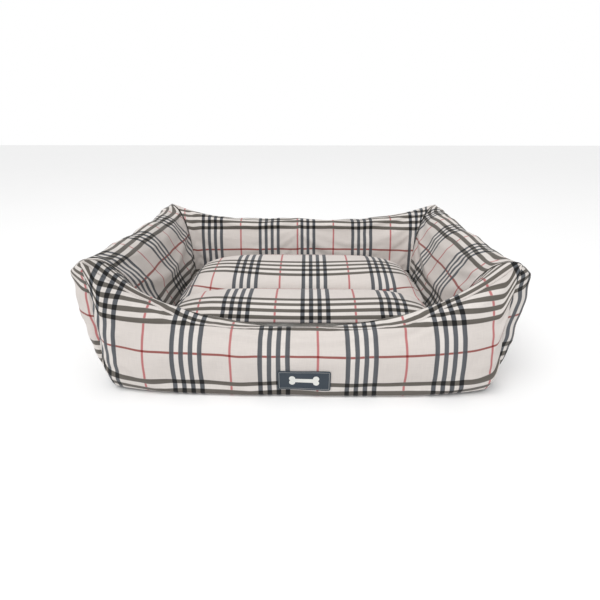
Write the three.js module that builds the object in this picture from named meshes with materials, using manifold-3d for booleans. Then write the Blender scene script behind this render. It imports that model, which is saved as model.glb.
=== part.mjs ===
// Pet cushion bed: four stuffed bolster walls round a loose two-lobe seat cushion.
// Millimetres, +Z up, front at -Y, origin on the floor under the middle of the bed.

import * as THREE from 'three';
import { mergeVertices } from 'three/addons/utils/BufferGeometryUtils.js';
import Module from 'manifold-3d';

const wasm = await Module();
wasm.setup();

// ---- Driving dimensions ---------------------------------------------------------------

const GAP = 0.3; // clearance between pieces that touch
const CLOTH = 1.2; // thickness of a cover panel
const FILL_GAP = 0.8; // clearance between a wall's cover and the filling behind it
const CUSHION_FILL_GAP = 2.4; // the same in the cushion, whose edge closes to a knife edge
const CORNER_X = 306; // upright corner seams, half the distance across the bed
const CORNER_Y = 210; // and from front to back
const EAR_Z = 209; // tips of the four corner ears
const BASE_CLOTH = 1.2; // thickness of the underside fabric
const VALLEY_DEPTH = 60; // how far the corner valley stands in from the corner seam
const LABEL_STAND = GAP + 1.2; // outer face of the label above the front panel

// A wall's section: crest height in the middle, the two powers by which it climbs to the ears
// and the first one's share, how far the crest stands in from the corner seams, the half widths
// outside and inside the crest, and the heights where it is widest.
const FRONT_WALL = {
  halfLength: CORNER_X, plane: CORNER_Y, crest: 98, climb: [1.8, 7], climbShare: 0.55,
  shift: 20, outer: 55, inner: 23, outerZ: 56, innerZ: 50,
};
const BACK_WALL = {
  halfLength: CORNER_X, plane: CORNER_Y, crest: 176, climb: [3, 3], climbShare: 0.5,
  shift: 5, outer: 40 + LABEL_STAND, inner: 42, outerZ: 90, innerZ: 62,
};
const SIDE_WALL = {
  halfLength: CORNER_Y, plane: CORNER_X, crest: 196, climb: [3, 3], climbShare: 0.5,
  shift: 10, outer: 30, inner: 52, outerZ: 125, innerZ: 70,
};
const WALL_FOOT_Z = BASE_CLOTH + GAP; // lower edge of the wall covers
const FOOT_TUCK = 0.21; // share of the half width by which a wall's foot tucks under
const TUCK_POWER = 2.5; // how late the foot tucks
const BACK_SEAM_U = -0.033; // upright seam of the back cover, as a share of the half length
const PINCH = { power: 6, round: 0.6 }; // how late and how roundly a wall closes at its ends

const STATIONS = 12; // steps along a wall
const ARC_STEPS = 8; // steps over a wall's crest
const FOOT_STEPS = 2; // steps between a wall's widest place and its foot
const DIAGONAL_MARGIN = 0.01;
const UP = new THREE.Vector3(0, 0, 1);

const CUSHION = {
  halfWidth: 232, // sides pull in between the corners
  cornerFlare: 6, // the corners reach this much further out
  front: -163,
  frontRounding: 12, // the front corners stand back by this much
  back: 142,
  seamZ: 68, // knife-edge seam
  frontRise: 56, // crown of the front lobe above the seam
  backRise: 67, // and of the back lobe
  drop: 34, // belly below the seam
  channelY: -45, // sewn channel
  channelWidth: 10,
  channelDepth: 0.7, // share of the rise that the channel takes away
  crownPower: 5, // how late the top falls to the seam
  bellyPower: 7, // and how late the flatter bottom rises to it
};
const CUSHION_STEPS_X = 12;
const EDGE_INSET_POWER = 6; // an inner face is set in sideways only close to the edges

const FILL_EDGE = 0.05; // half the thickness of the filling where it thins out at the seam

const PAD_TOP_Z = 30;
const LABEL = { left: -32, right: 47, low: 20, high: 54, columns: 6, rows: 3 };

const ZIP = {
  tapeHalf: 160, // half length of the tapes
  y: CUSHION.back + 0.4, // back face of the tapes
  tape: 1, // tape thickness
  tapeHeight: 8,
  bead: 1.65, // coil beads, height
  beadDepth: 1.6,
  parting: 0.5, // gap between the two beads
  stopX: 156,
  sliderX: 148, // slider's place with the zip closed
};

// ---- Materials ------------------------------------------------------------------------

function material(color, roughness, metalness = 0) {
  return new THREE.MeshStandardMaterial({ color, roughness, metalness });
}

const plaid = () => material(0xd6cfca, 0.9);
const filling = () => material(0xf2f1ec, 0.95);
const liner = () => material(0xcfc8c0, 0.9);
const underside = () => material(0x3a3b3e, 0.85);
const tapeCloth = () => material(0xd8d2c6, 0.8);
const zipMetal = () => material(0xa9a9ab, 0.35, 0.9);
const woven = () => material(0x35424f, 0.7);

// ---- Walls ----------------------------------------------------------------------------

// 1 along most of a wall, falling to 0 at the corner seams where it is pinched shut.
function fullness(u) {
  return Math.pow(1 - Math.pow(Math.abs(u), PINCH.power), PINCH.round);
}

// A wall's section at station u, set in by a thickness. Distances are measured out from the
// corner plane, so that an inner face has a negative offset.
function wallSection(wall, u, inset) {
  const full = fullness(u);
  const [early, late] = wall.climb.map((power) => Math.pow(Math.abs(u), power));
  const climbed = wall.climbShare * early + (1 - wall.climbShare) * late;
  const crestOffset = -wall.shift * full - inset * (1 - full);
  return {
    crestOffset,
    top: wall.crest + (EAR_Z - wall.crest) * climbed - inset,
    outer: wall.outer * full - inset * full,
    inner: VALLEY_DEPTH + (wall.inner - VALLEY_DEPTH) * full - inset * (2 - full),
    tuck: FOOT_TUCK * full,
  };
}

// Offset of a wall's face at height z below its widest place; side +1 is outside.
function footOffset(section, z, widestZ, side) {
  const share = Math.max(0, (widestZ - z) / (widestZ - WALL_FOOT_Z));
  const half = side > 0 ? section.outer : section.inner;
  const tucked = 1 - section.tuck * Math.pow(share, TUCK_POWER);
  return section.crestOffset + side * half * tucked;
}

// Places a section point: u along the wall, the offset from the corner plane and a height.
// Points inside the corner plane draw in along the wall, so both ends lie on the mitre.
function placeOnWall(wall, turn, u, offset, z) {
  const along = u * (wall.halfLength - GAP + Math.min(0, offset));
  const out = wall.plane + offset;
  return new THREE.Vector3(along, -out, z).applyAxisAngle(UP, turn);
}

// The path over a wall at station u, from its outer foot over the crest to its inner foot.
// start and end are shares of that path's arc, 0 outside and 1 inside, 0.5 on the ridge.
function wallPath(wall, turn, u, inset, footZ, start = 0, end = 1) {
  const section = wallSection(wall, u, inset);
  const path = [];
  const foot = (side, widestZ, step) => {
    const z = footZ + ((widestZ - footZ) * step) / FOOT_STEPS;
    path.push(placeOnWall(wall, turn, u, footOffset(section, z, widestZ, side), z));
  };
  if (start === 0) {
    for (let i = 0; i < FOOT_STEPS; i++) foot(1, wall.outerZ, i);
  }
  const steps = Math.round(ARC_STEPS * (end - start));
  for (let i = 0; i <= steps; i++) {
    const angle = Math.PI * (start + ((end - start) * i) / steps);
    const across = Math.cos(angle);
    const half = across > 0 ? section.outer : section.inner;
    const widestZ = across > 0 ? wall.outerZ : wall.innerZ;
    const z = widestZ + (section.top - widestZ) * Math.sin(angle);
    path.push(placeOnWall(wall, turn, u, section.crestOffset + half * across, z));
  }
  if (end === 1) {
    for (let i = FOOT_STEPS - 1; i >= 0; i--) foot(-1, wall.innerZ, i);
  }
  return path;
}

// Stations between two shares of the half length, closer together towards the corner seams.
function stationRange(from, to) {
  const [first, last] = [Math.asin(from), Math.asin(to)];
  const count = Math.round((STATIONS * (last - first)) / Math.PI);
  const step = (last - first) / count;
  return Array.from({ length: count + 1 }, (_, i) => Math.sin(first + step * i));
}

// A closed solid through a row of closed rings. Each end is closed by a ladder of faces
// between the first half of the ring and the second, which runs back beside it.
function loft(rings) {
  const count = rings[0].length;
  const last = (rings.length - 1) * count;
  const points = rings.flat();
  const faces = [];
  // Splits four corners along the shorter diagonal, as faces that lie close then agree.
  const quad = (a, b, c, d) => {
    const first = points[a].distanceTo(points[c]);
    const second = points[b].distanceTo(points[d]);
    if (first < second - DIAGONAL_MARGIN) faces.push(a, b, c, a, c, d);
    else faces.push(a, b, d, b, c, d);
  };
  for (let row = 0; row < last; row += count) {
    for (let i = 0; i < count; i++) {
      const next = (i + 1) % count;
      quad(row + i, row + next, row + count + next, row + count + i);
    }
  }
  for (let i = 0; i < count / 2 - 1; i++) {
    const far = count - 1 - i;
    if (far - 1 === i + 1) {
      faces.push(i, far, i + 1, last + i, last + i + 1, last + far);
    } else {
      quad(i, far, far - 1, i + 1);
      quad(last + i, last + i + 1, last + far - 1, last + far);
    }
  }
  const geometry = new THREE.BufferGeometry().setFromPoints(points);
  geometry.setIndex(faces);
  geometry.computeVertexNormals();
  return geometry;
}

// A sheet of cloth with a thickness: each ring runs along its inner face and back outside.
function coverPanel(wall, turn, { from = -1, to = 1, start = 0, end = 1 } = {}) {
  return loft(stationRange(from, to).map((u) => {
    const outside = wallPath(wall, turn, u, 0, WALL_FOOT_Z, start, end);
    const inside = wallPath(wall, turn, u, CLOTH, WALL_FOOT_Z, start, end);
    return [...inside, ...outside.reverse()];
  }));
}

function wallFill(wall, turn, stations = stationRange(-1, 1)) {
  const inset = CLOTH + FILL_GAP;
  const footZ = WALL_FOOT_Z + GAP;
  return loft(stations.map((u) => wallPath(wall, turn, u, inset, footZ).reverse()));
}

const FRONT_TURN = 0;
const RIGHT_TURN = Math.PI / 2;
const BACK_TURN = Math.PI;
const LEFT_TURN = -Math.PI / 2;
// Seen from outside the back wall's stations run the other way, so its seam changes sign.
const BACK_STATIONS = [...stationRange(-1, -BACK_SEAM_U), ...stationRange(-BACK_SEAM_U, 1).slice(1)];
const RIDGE_GAP = 0.004; // half the gap at the front ridge seam, as a share of the arc
const SEAM_GAP_U = 0.001; // half the gap at the back wall's upright seam

// ---- Base -----------------------------------------------------------------------------

// The outline round the walls' feet, or round the well inside them, at a height.
function wallOutline(z, side, margin) {
  const points = [];
  const walls = [
    [FRONT_WALL, FRONT_TURN], [SIDE_WALL, RIGHT_TURN], [BACK_WALL, BACK_TURN], [SIDE_WALL, LEFT_TURN],
  ];
  for (const [wall, turn] of walls) {
    for (const u of stationRange(-1, 1).slice(0, -1)) {
      const section = wallSection(wall, u, 0);
      const widestZ = side > 0 ? wall.outerZ : wall.innerZ;
      const offset = footOffset(section, z, widestZ, side) - margin;
      const point = placeOnWall(wall, turn, u, offset, z);
      points.push(new THREE.Vector2(point.x, point.y));
    }
  }
  return points;
}

function layer(outline, bottomZ, topZ) {
  const geometry = new THREE.ExtrudeGeometry(new THREE.Shape(outline), {
    depth: topZ - bottomZ, bevelEnabled: false,
  });
  return geometry.translate(0, 0, bottomZ);
}

const UNDERSIDE_MARGIN = 4; // the underside ends inside the walls' feet
const PAD_MARGIN = 6; // the pad and the liner end short of the walls' inner faces
const LINER_MARGIN = 3;

const baseUnderside = () => layer(wallOutline(WALL_FOOT_Z, 1, UNDERSIDE_MARGIN), 0, BASE_CLOTH);
const basePad = () => layer(wallOutline(PAD_TOP_Z, -1, PAD_MARGIN), BASE_CLOTH + GAP, PAD_TOP_Z);
const baseLiner = () => {
  const bottomZ = PAD_TOP_Z + GAP;
  return layer(wallOutline(PAD_TOP_Z, -1, LINER_MARGIN), bottomZ, bottomZ + CLOTH);
};

// ---- Cushion --------------------------------------------------------------------------

// p runs across the cushion and q from front to back, both from -1 to 1.
function cushionPlan(p, q, inset) {
  const half = CUSHION.halfWidth + CUSHION.cornerFlare * Math.pow(Math.abs(q), 3);
  const middle = (CUSHION.front + CUSHION.back) / 2;
  const depth = (CUSHION.back - CUSHION.front) / 2;
  const rounding = q < 0 ? CUSHION.frontRounding * q * q * Math.pow(Math.abs(p), 3) : 0;
  const setIn = (t) => inset * t * Math.pow(Math.abs(t), EDGE_INSET_POWER);
  return { x: p * half - setIn(p), y: middle + q * depth + rounding - setIn(q) };
}

// Height of a face over the seam: side +1 is the crowned top, -1 the flatter bottom.
function cushionHeight(p, q, y, side) {
  const edge = (t, power) => Math.sqrt(Math.max(0, 1 - Math.pow(Math.abs(t), power)));
  if (side < 0) return CUSHION.drop * edge(p, CUSHION.bellyPower) * edge(q, CUSHION.bellyPower);
  const across = (y - CUSHION.channelY) / CUSHION.channelWidth;
  const channel = 1 - CUSHION.channelDepth * Math.exp(-across * across);
  const rise = across < 0 ? CUSHION.frontRise : CUSHION.backRise;
  return rise * edge(p, CUSHION.crownPower) * edge(q, CUSHION.crownPower) * channel;
}

function cushionPoint(p, q, inset, side, seamGap) {
  const { x, y } = cushionPlan(p, q, inset);
  const scale = 1 - inset / CUSHION.drop;
  const height = cushionHeight(p, q, cushionPlan(p, q, 0).y, side) * scale;
  return new THREE.Vector3(x, y, CUSHION.seamZ + side * (seamGap + height));
}

const CHANNEL_Q = (() => {
  const middle = (CUSHION.front + CUSHION.back) / 2;
  return (CUSHION.channelY - middle) / ((CUSHION.back - CUSHION.front) / 2);
})();

function evenSteps(from, to, count) {
  return Array.from({ length: count + 1 }, (_, i) => from + ((to - from) * i) / count);
}

// Rows from front to back, with one on the channel and one close on each side of it.
const CHANNEL_STEP = 0.07;
const FRONT_ROWS = evenSteps(-1, CHANNEL_Q - CHANNEL_STEP, 5);
const BACK_ROWS = evenSteps(CHANNEL_Q + CHANNEL_STEP, 1, 7);
const PANEL_ROWS = [...FRONT_ROWS, CHANNEL_Q, ...BACK_ROWS];

function cushionPanel(side) {
  const face = (p, inset) => PANEL_ROWS.map((q) => cushionPoint(p, q, inset, side, GAP / 2));
  return loft(evenSteps(-1, 1, CUSHION_STEPS_X).map((p) => {
    const [lower, upper] = side > 0 ? [face(p, CLOTH), face(p, 0)] : [face(p, 0), face(p, CLOTH)];
    return [...lower, ...upper.reverse()];
  }));
}

function cushionFill(rows) {
  const inset = CLOTH + CUSHION_FILL_GAP;
  return loft(evenSteps(-1, 1, CUSHION_STEPS_X).map((p) => [
    ...rows.map((q) => cushionPoint(p, q, inset, -1, FILL_EDGE)),
    ...rows.map((q) => cushionPoint(p, q, inset, 1, FILL_EDGE)).reverse(),
  ]));
}

// ---- Label ----------------------------------------------------------------------------

function labelPatch() {
  const columns = evenSteps(LABEL.left, LABEL.right, LABEL.columns);
  const rows = evenSteps(LABEL.low, LABEL.high, LABEL.rows);
  const face = (x, stand) => rows.map((z) => {
    const u = x / (CORNER_X - GAP);
    const offset = footOffset(wallSection(FRONT_WALL, u, 0), z, FRONT_WALL.outerZ, 1);
    return new THREE.Vector3(x, -(CORNER_Y + offset + stand), z);
  });
  return loft(columns.map((x) => [...face(x, GAP), ...face(x, LABEL_STAND).reverse()]));
}

// ---- Zip ------------------------------------------------------------------------------

// Extrudes an outline drawn in Y (across) and Z (up) along X, centred on x.
function alongX(outline, length, x) {
  const geometry = new THREE.ExtrudeGeometry(new THREE.Shape(outline), {
    depth: length, bevelEnabled: false, curveSegments: 8,
  });
  geometry.rotateX(Math.PI / 2);
  geometry.rotateZ(Math.PI / 2);
  return geometry.translate(x - length / 2, 0, 0);
}

const outlineOf = (pairs) => pairs.map(([across, up]) => new THREE.Vector2(across, up));

// A tape with its coil bead along the parting line; side +1 is the upper tape.
function zipTape(side) {
  const { y, tape, bead, beadDepth, parting, tapeHeight } = ZIP;
  const z = (height) => CUSHION.seamZ + side * height;
  const near = parting / 2;
  const outline = outlineOf([
    [y, z(near)], [y + tape + beadDepth, z(near)], [y + tape + beadDepth, z(near + bead)],
    [y + tape, z(near + bead)], [y + tape, z(tapeHeight)], [y, z(tapeHeight)],
  ]);
  return alongX(side > 0 ? outline : outline.reverse(), ZIP.tapeHalf * 2, 0);
}

// A C-shaped clamp round both beads, open towards the tapes.
function beadClamp(length, x, wall) {
  const { y, tape, bead, beadDepth, parting } = ZIP;
  const inside = parting / 2 + bead + GAP;
  const outside = inside + wall;
  const lip = y + tape + GAP;
  const back = y + tape + beadDepth + GAP;
  const up = (height) => CUSHION.seamZ + height;
  const outline = outlineOf([
    [lip, up(-outside)], [back + wall, up(-outside)], [back + wall, up(outside)], [lip, up(outside)],
    [lip, up(inside)], [back, up(inside)], [back, up(-inside)], [lip, up(-inside)],
  ]);
  return alongX(outline, length, x);
}

const SLIDER_WALL = 1.3;
const SLIDER_LENGTH = 10;
const SLIDER_FACE_Y = ZIP.y + ZIP.tape + ZIP.beadDepth + GAP + SLIDER_WALL;
const BAIL = { reach: 3, bar: 1.2, halfHeight: 2.6, leg: 1 };
const PIVOT_Y = SLIDER_FACE_Y + BAIL.reach - BAIL.bar / 2;
const STOP_LENGTH = 2;
const STOP_WALL = 0.8;

// The bail is the staple on the slider's face that the pull hangs on.
function bail() {
  const { reach, bar, halfHeight, leg } = BAIL;
  const insideHeight = halfHeight - leg;
  const rooted = SLIDER_FACE_Y - SLIDER_WALL / 2;
  const tip = SLIDER_FACE_Y + reach;
  const up = (height) => CUSHION.seamZ + height;
  const outline = outlineOf([
    [rooted, up(-halfHeight)], [tip, up(-halfHeight)], [tip, up(halfHeight)], [rooted, up(halfHeight)],
    [rooted, up(insideHeight)], [tip - bar, up(insideHeight)],
    [tip - bar, up(-insideHeight)], [rooted, up(-insideHeight)],
  ]);
  return alongX(outline, bar, ZIP.sliderX);
}

// A closed geometry as a solid that can be joined to another.
function solidOf(geometry) {
  const bare = geometry.clone();
  bare.deleteAttribute('normal');
  bare.deleteAttribute('uv');
  const merged = mergeVertices(bare);
  return new wasm.Manifold(new wasm.Mesh({
    numProp: 3,
    vertProperties: new Float32Array(merged.attributes.position.array),
    triVerts: new Uint32Array(merged.index.array),
  }));
}

function geometryOf(solid) {
  const { vertProperties, triVerts } = solid.getMesh();
  const geometry = new THREE.BufferGeometry();
  geometry.setAttribute('position', new THREE.BufferAttribute(vertProperties, 3));
  geometry.setIndex(new THREE.BufferAttribute(triVerts, 1));
  geometry.computeVertexNormals();
  return geometry;
}

function zipSlider() {
  const body = solidOf(beadClamp(SLIDER_LENGTH, ZIP.sliderX, SLIDER_WALL));
  return geometryOf(body.add(solidOf(bail())));
}

const PULL = {
  eyeRadius: 2.1, holeRadius: 1.3, eyeHeight: 2.6, neck: 1.4, root: 0.4,
  length: 11, thickness: 1.3, width: 6,
};

// The pull's eye turns on the bail's bar, and its tab trails along the closed coils.
function zipPull() {
  const eye = new THREE.Shape().absarc(0, 0, PULL.eyeRadius, 0, Math.PI * 2);
  eye.holes.push(new THREE.Path().absarc(0, 0, PULL.holeRadius, 0, Math.PI * 2, true));
  const ring = new THREE.ExtrudeGeometry(eye, {
    depth: PULL.eyeHeight, bevelEnabled: false, curveSegments: 10,
  });
  ring.translate(0, 0, -PULL.eyeHeight / 2);

  const { length, width, eyeRadius, eyeHeight } = PULL;
  const neck = eyeRadius + PULL.neck;
  const root = eyeRadius - PULL.root;
  const tabOutline = new THREE.Shape();
  tabOutline.moveTo(-root, -eyeHeight / 2);
  tabOutline.lineTo(-root, eyeHeight / 2);
  tabOutline.lineTo(-neck, width / 2);
  tabOutline.lineTo(-(length - width / 2), width / 2);
  tabOutline.absarc(-(length - width / 2), 0, width / 2, Math.PI / 2, (3 * Math.PI) / 2);
  tabOutline.lineTo(-neck, -width / 2);
  const tab = new THREE.ExtrudeGeometry(tabOutline, {
    depth: PULL.thickness, bevelEnabled: false, curveSegments: 6,
  });
  tab.translate(0, 0, -PULL.thickness / 2);
  tab.rotateX(Math.PI / 2);
  return geometryOf(solidOf(ring).add(solidOf(tab)));
}

// ---- Assembly -------------------------------------------------------------------------

function piece(name, geometry, pieceMaterial) {
  const mesh = new THREE.Mesh(geometry, pieceMaterial);
  mesh.name = name;
  return mesh;
}

const walls = new THREE.Group();
walls.add(
  piece('front_wall_outer_panel',
    coverPanel(FRONT_WALL, FRONT_TURN, { end: 0.5 - RIDGE_GAP }), plaid()),
  piece('front_wall_inner_panel',
    coverPanel(FRONT_WALL, FRONT_TURN, { start: 0.5 + RIDGE_GAP }), plaid()),
  piece('back_wall_cover_left',
    coverPanel(BACK_WALL, BACK_TURN, { from: -BACK_SEAM_U + SEAM_GAP_U }), plaid()),
  piece('back_wall_cover_right',
    coverPanel(BACK_WALL, BACK_TURN, { to: -BACK_SEAM_U - SEAM_GAP_U }), plaid()),
  piece('left_wall_cover', coverPanel(SIDE_WALL, LEFT_TURN), plaid()),
  piece('right_wall_cover', coverPanel(SIDE_WALL, RIGHT_TURN), plaid()),
  piece('front_wall_fill', wallFill(FRONT_WALL, FRONT_TURN), filling()),
  piece('back_wall_fill', wallFill(BACK_WALL, BACK_TURN, BACK_STATIONS), filling()),
  piece('left_wall_fill', wallFill(SIDE_WALL, LEFT_TURN), filling()),
  piece('right_wall_fill', wallFill(SIDE_WALL, RIGHT_TURN), filling()),
  piece('label_patch', labelPatch(), woven()),
);

const base = new THREE.Group();
base.add(
  piece('base_underside', baseUnderside(), underside()),
  piece('base_pad', basePad(), filling()),
  piece('base_liner', baseLiner(), liner()),
);

const cushion = new THREE.Group();
cushion.add(
  piece('cushion_top_panel', cushionPanel(1), plaid()),
  piece('cushion_bottom_panel', cushionPanel(-1), plaid()),
  piece('cushion_fill_front', cushionFill(FRONT_ROWS), filling()),
  piece('cushion_fill_back', cushionFill(BACK_ROWS), filling()),
);

const zip = new THREE.Group();
const pull = piece('zip_pull', zipPull(), zipMetal());
pull.position.set(ZIP.sliderX, PIVOT_Y, CUSHION.seamZ);
zip.add(
  piece('zip_tape_upper', zipTape(1), tapeCloth()),
  piece('zip_tape_lower', zipTape(-1), tapeCloth()),
  piece('zip_slider', zipSlider(), zipMetal()),
  pull,
  piece('zip_stop_left', beadClamp(STOP_LENGTH, -ZIP.stopX, STOP_WALL), zipMetal()),
  piece('zip_stop_right', beadClamp(STOP_LENGTH, ZIP.stopX, STOP_WALL), zipMetal()),
);
cushion.add(zip);

const bed = new THREE.Group();
bed.add(walls, base, cushion);

export default bed;
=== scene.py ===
"""Pet cushion bed: four stuffed plaid walls round a loose two-lobe seat cushion.

Laid out as an add-on and run as a script. Metres, +Z up, front at -Y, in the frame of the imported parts.
"""

import math
from dataclasses import dataclass

import bpy
import numpy as np
from bpy.props import FloatProperty, FloatVectorProperty, IntProperty, PointerProperty
from mathutils import Matrix, Vector, noise
from mathutils.bvhtree import BVHTree


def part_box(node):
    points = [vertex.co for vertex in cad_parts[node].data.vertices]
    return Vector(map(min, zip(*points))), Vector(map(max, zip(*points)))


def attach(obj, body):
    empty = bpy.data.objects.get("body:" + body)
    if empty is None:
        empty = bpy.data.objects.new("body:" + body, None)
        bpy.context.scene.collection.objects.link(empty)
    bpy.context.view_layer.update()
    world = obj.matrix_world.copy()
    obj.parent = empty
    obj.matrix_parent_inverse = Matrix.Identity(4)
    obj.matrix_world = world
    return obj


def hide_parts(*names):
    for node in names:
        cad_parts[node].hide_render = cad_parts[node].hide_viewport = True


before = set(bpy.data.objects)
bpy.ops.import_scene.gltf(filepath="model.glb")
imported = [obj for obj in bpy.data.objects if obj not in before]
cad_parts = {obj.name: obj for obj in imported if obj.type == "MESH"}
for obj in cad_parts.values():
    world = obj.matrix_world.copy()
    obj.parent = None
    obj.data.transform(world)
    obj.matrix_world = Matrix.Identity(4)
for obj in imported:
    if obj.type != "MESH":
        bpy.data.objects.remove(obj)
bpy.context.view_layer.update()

bl_info = {
    "name": "Pet cushion bed",
    "version": (1, 0, 0),
    "blender": (4, 5, 0),
    "location": "3D View > Sidebar > Pet Bed",
    "description": "Builds the covers, fillings, base, cushion, zip and label of a pet cushion bed",
    "category": "Object",
}

CLOTH_UV = "cloth"
SEED = 7
WOVEN = 0.0009  # thickness of the label and the base's cloths
MERGE = 0.00001  # points nearer than this are one


def srgb(red, green, blue):
    """A linear colour from 0 to 255 screen values."""
    return tuple(
        c / 12.92 if c <= 0.04045 else ((c + 0.055) / 1.055) ** 2.4
        for c in (red / 255, green / 255, blue / 255)
    )


def colour(name, description, red, green, blue):
    return FloatVectorProperty(
        name=name, description=description, subtype="COLOR", size=3, min=0, max=1,
        default=srgb(red, green, blue),
    )


def length(name, description, default):
    return FloatProperty(name=name, description=description, default=default, unit="LENGTH", precision=4)


def angle(name, description, degrees):
    return FloatProperty(name=name, description=description, default=math.radians(degrees), subtype="ANGLE")


def share(name, description, default):
    return FloatProperty(name=name, description=description, default=default, subtype="FACTOR")


# ---- Sizes and colours ----------------------------------------------------------------


class PlaidSettings(bpy.types.PropertyGroup):
    """The plaid: bands of four dark stripes with a thin red line midway between bands."""

    repeat_across: length("Repeat across", "From band to band across the cloth", 0.130)
    repeat_along: length("Repeat along", "From band to band along the cloth", 0.148)
    stripe: share("Stripe", "Half width of a dark stripe, as a share of the repeat", 0.0265)
    stripe_step: share("Stripe step", "From stripe to stripe in a band, as a share of the repeat", 0.1057)
    red_line: share("Red line", "Half width of a red line, as a share of the repeat", 0.0135)
    ground: colour("Ground", "Cloth between the bands", 206, 199, 194)
    gap: colour("Band gaps", "Lighter cloth between the stripes of a band", 213, 207, 202)
    warp_stripe: colour("Upright stripes", "Cool dark stripes along the cloth", 84, 86, 90)
    weft_stripe: colour("Level stripes", "Warm dark stripes across the cloth", 94, 89, 83)
    warp_red: colour("Upright red", "Thin red line along the cloth", 178, 112, 112)
    weft_red: colour("Level red", "Thin red line across the cloth", 143, 86, 81)


class CoverSettings(bpy.types.PropertyGroup):
    """The sewn covers."""

    cloth: length("Cloth thickness", "Thickness of a cover", 0.0009)
    step: length("Grid step", "Size of a cover's faces before they are divided", 0.0052)
    pressure: FloatProperty(name="Stuffing pressure", description="How hard the filling pushes", default=2.2)
    frames: IntProperty(name="Settling steps", description="Steps the cloth settles for", default=26, min=2)


class BaseSettings(bpy.types.PropertyGroup):
    """The flat base under the cushion."""

    liner: colour("Liner", "Cloth inside the bed under the cushion", 207, 200, 192)
    underside: colour("Underside", "Dark non-slip cloth under the bed", 58, 59, 62)
    dot: length("Grip dot", "Radius of a grip dot", 0.0022)
    dot_height: length("Dot height", "Half height of a grip dot", 0.00055)
    pitch: length("Dot pitch", "From one grip dot to the next", 0.016)


class TrimSettings(bpy.types.PropertyGroup):
    """The label and the zip."""

    label: colour("Label", "Woven label", 45, 56, 67)
    motif: colour("Label motif", "Bone woven into the label", 226, 226, 221)
    label_corner: length("Label corner", "Radius of the label's corners", 0.0028)
    tape: colour("Zip tape", "Cloth beside the zip's coils", 205, 199, 189)
    metal: colour("Zip metal", "Slider, pull and end stops", 176, 177, 180)
    fibre: colour("Fibre filling", "Hollow-fibre stuffing and wadding", 240, 239, 234)


class StageSettings(bpy.types.PropertyGroup):
    """Floor, light and camera."""

    floor: colour("Floor", "Plain pale floor", 245, 245, 245)
    sky: FloatProperty(name="Sky", description="Strength of the light from all round", default=0.6)
    sun: FloatProperty(name="Sun", description="Strength of the soft light from above", default=1.4)
    lens: FloatProperty(name="Lens", description="Focal length", default=24.876, unit="CAMERA")
    place: FloatVectorProperty(
        name="Camera", description="Place of the camera", subtype="XYZ", unit="LENGTH",
        default=(0.0107, -0.7532, 0.3904),
    )
    pitch: angle("Pitch", "How far the camera looks down", 23.76)
    yaw: angle("Yaw", "How far the camera turns left", 1.03)


# ---- Shader expressions ---------------------------------------------------------------


class Value:
    """A socket that takes part in Python expressions; each operation adds a Math node."""

    def __init__(self, graph, socket):
        self.graph, self.socket = graph, socket

    def math(self, operation, *others):
        return self.graph.node("ShaderNodeMath", {"operation": operation}, [self, *others])

    def __add__(self, other):
        return self.math("ADD", other)

    def __mul__(self, other):
        return self.math("MULTIPLY", other)

    __radd__ = __add__
    __rmul__ = __mul__

    def __sub__(self, other):
        return self.math("SUBTRACT", other)

    def __rsub__(self, other):
        return self.graph.node("ShaderNodeMath", {"operation": "SUBTRACT"}, [other, self])

    def __truediv__(self, other):
        return self.math("DIVIDE", other)

    def __abs__(self):
        return self.math("ABSOLUTE")

    def __pow__(self, power):
        return self.math("POWER", power)

    def wave(self, spacing):
        """A sine that turns over once in each spacing."""
        return (self * (math.pi / spacing)).math("SINE")

    def clamped(self):
        return self.graph.node("ShaderNodeClamp", {}, {"Value": self})


def largest(first, *others):
    for other in others:
        first = first.math("MAXIMUM", other)
    return first


def smallest(first, *others):
    for other in others:
        first = first.math("MINIMUM", other)
    return first


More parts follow.
